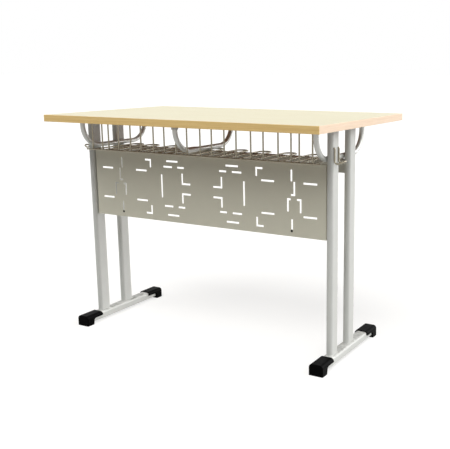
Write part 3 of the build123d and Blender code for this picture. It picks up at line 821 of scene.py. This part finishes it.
class SCHOOLTABLE_OT_beads(bpy.types.Operator):
    """Weld beads round the ends of the legs, the outer bent tubes and the beam"""

    bl_idname = "school_table.beads"
    bl_label = "Weld beads"

    def execute(self, context):
        weld = settings().weld
        coat = settings().paint
        points, edges = bead_lines()
        finish = paint("weld_paint", coat.tubes, coat.roughness, dust_share=0.2, peel_depth=0.03)
        made_by_tree(
            "frame_weld_beads", points, edges, bead_tree(), width=weld.bead, pitch=weld.pitch, seed=weld.seed,
            material=finish,
        )
        return {"FINISHED"}


class SCHOOLTABLE_OT_caps(bpy.types.Operator):
    """Black plastic on the floor caps and the panel's plugs"""

    bl_idname = "school_table.caps"
    bl_label = "Caps and plugs"

    def execute(self, context):
        dress(black_plastic(), nodes_named("foot_cap", "panel_plugs"))
        return {"FINISHED"}


class SCHOOLTABLE_OT_fasteners(bpy.types.Operator):
    """Zinc on the screws, spacers and clips"""

    bl_idname = "school_table.fasteners"
    bl_label = "Fasteners"

    def execute(self, context):
        screws = ["panel_screws", "tabletop_screws", "socket_screws", "clip_screws"]
        dress(zinc_plate(), [*screws, "panel_spacers", "basket_clips"])
        return {"FINISHED"}


def seen_directly(tree):
    """1 for rays from the camera, mirrors and glass, and 0 for rays that carry light to the object."""
    path = tree.nodes.new("ShaderNodeLightPath")
    mirrored = math_node(tree, "MAXIMUM", path.outputs["Is Glossy Ray"], path.outputs["Is Transmission Ray"])
    return math_node(tree, "MAXIMUM", path.outputs["Is Camera Ray"], mirrored)


def make_world():
    """White to look at, and as much even light on the object as the ambient setting says."""
    world = bpy.data.worlds.new("studio")
    bpy.context.scene.world = world
    world.use_nodes = True
    tree = world.node_tree
    light = tree.nodes["Background"]
    light.inputs["Color"].default_value = (1, 1, 1, 1)
    strength = spread(tree, seen_directly(tree), 0.0, 1.0, settings().studio.ambient, 1.0)
    join(tree, light.inputs["Strength"], strength)


def make_floor():
    """Pale floor that takes the object's shadow and runs into the white behind it."""
    reach = 60.0
    corners = [(-reach, -reach, 0), (reach, -reach, 0), (reach, reach, 0), (-reach, reach, 0)]
    mesh = bpy.data.meshes.new("floor")
    mesh.from_pydata(corners, [], [(0, 1, 2, 3)])
    floor = bpy.data.objects.new("floor", mesh)
    bpy.context.scene.collection.objects.link(floor)
    material, tree, shader, _ = start_material("floor_paint", Roughness=0.9, Specular_IOR_Level=0.1)
    shader.inputs["Base Color"].default_value = rgba(settings().studio.floor)
    shader.inputs["Emission Color"].default_value = (1, 1, 1, 1)
    lift = math_node(tree, "MULTIPLY", seen_directly(tree), settings().studio.floor_lift)
    join(tree, shader.inputs["Emission Strength"], lift)
    mesh.materials.append(material)


def make_lamp(name, source, strength):
    """Broad soft lamp so far away that it lights the whole floor alike."""
    data = bpy.data.lights.new(name, "SUN")
    data.energy = strength
    data.angle = settings().studio.softness
    lamp = bpy.data.objects.new(name, data)
    lamp.rotation_mode = "QUATERNION"
    lamp.rotation_quaternion = Vector(source).to_track_quat("Z", "Y")
    bpy.context.scene.collection.objects.link(lamp)


def make_camera():
    """Camera at the photograph's place and angle."""
    studio = settings().studio
    data = bpy.data.cameras.new("camera")
    data.lens = studio.focal_length
    data.shift_x = studio.shift_x
    data.shift_y = studio.shift_y
    camera = bpy.data.objects.new("camera", data)
    camera.location = studio.camera_place
    camera.rotation_euler = (math.pi / 2 - studio.camera_dip, 0, studio.camera_turn)
    bpy.context.scene.collection.objects.link(camera)
    bpy.context.scene.camera = camera


class SCHOOLTABLE_OT_studio(bpy.types.Operator):
    """Floor, lamps, world and camera"""

    bl_idname = "school_table.studio"
    bl_label = "Studio"

    def execute(self, context):
        studio = settings().studio
        make_world()
        make_floor()
        for lamp in LAMPS:
            make_lamp(f"{lamp}_lamp", getattr(studio, f"{lamp}_from"), getattr(studio, f"{lamp}_light"))
        make_camera()
        return {"FINISHED"}


STEPS = ("studio", "board", "tubes", "front_panel", "basket", "beads", "caps", "fasteners")


class SCHOOLTABLE_PT_sidebar(bpy.types.Panel):
    """Buttons and settings of the school table"""

    bl_label = "School Table"
    bl_idname = "SCHOOLTABLE_PT_sidebar"
    bl_space_type = "VIEW_3D"
    bl_region_type = "UI"
    bl_category = "School Table"

    def draw(self, context):
        layout = self.layout
        for step in STEPS:
            layout.operator(f"school_table.{step}")
        table = settings()
        for part in ("top", "paint", "plastic", "zinc", "weld", "studio"):
            box = layout.box()
            box.label(text=part.capitalize())
            group = getattr(table, part)
            for name in group.bl_rna.properties.keys():
                if name not in ("rna_type", "name"):
                    box.prop(group, name)


CLASSES = (
    TopSettings,
    PaintSettings,
    PlasticSettings,
    ZincSettings,
    WeldSettings,
    StudioSettings,
    SchoolTableSettings,
    SCHOOLTABLE_OT_board,
    SCHOOLTABLE_OT_tubes,
    SCHOOLTABLE_OT_panel,
    SCHOOLTABLE_OT_basket,
    SCHOOLTABLE_OT_beads,
    SCHOOLTABLE_OT_caps,
    SCHOOLTABLE_OT_fasteners,
    SCHOOLTABLE_OT_studio,
    SCHOOLTABLE_PT_sidebar,
)


def register():
    """Add the classes and the scene's settings."""
    for cls in CLASSES:
        bpy.utils.register_class(cls)
    bpy.types.Scene.school_table = PointerProperty(type=SchoolTableSettings)


def unregister():
    """Take them away again."""
    del bpy.types.Scene.school_table
    for cls in reversed(CLASSES):
        bpy.utils.unregister_class(cls)


def main():
    """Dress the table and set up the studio."""
    register()
    bpy.context.scene.view_settings.view_transform = "Standard"
    for step in STEPS:
        getattr(bpy.ops.school_table, step)()


if __name__ == "__main__":
    main()
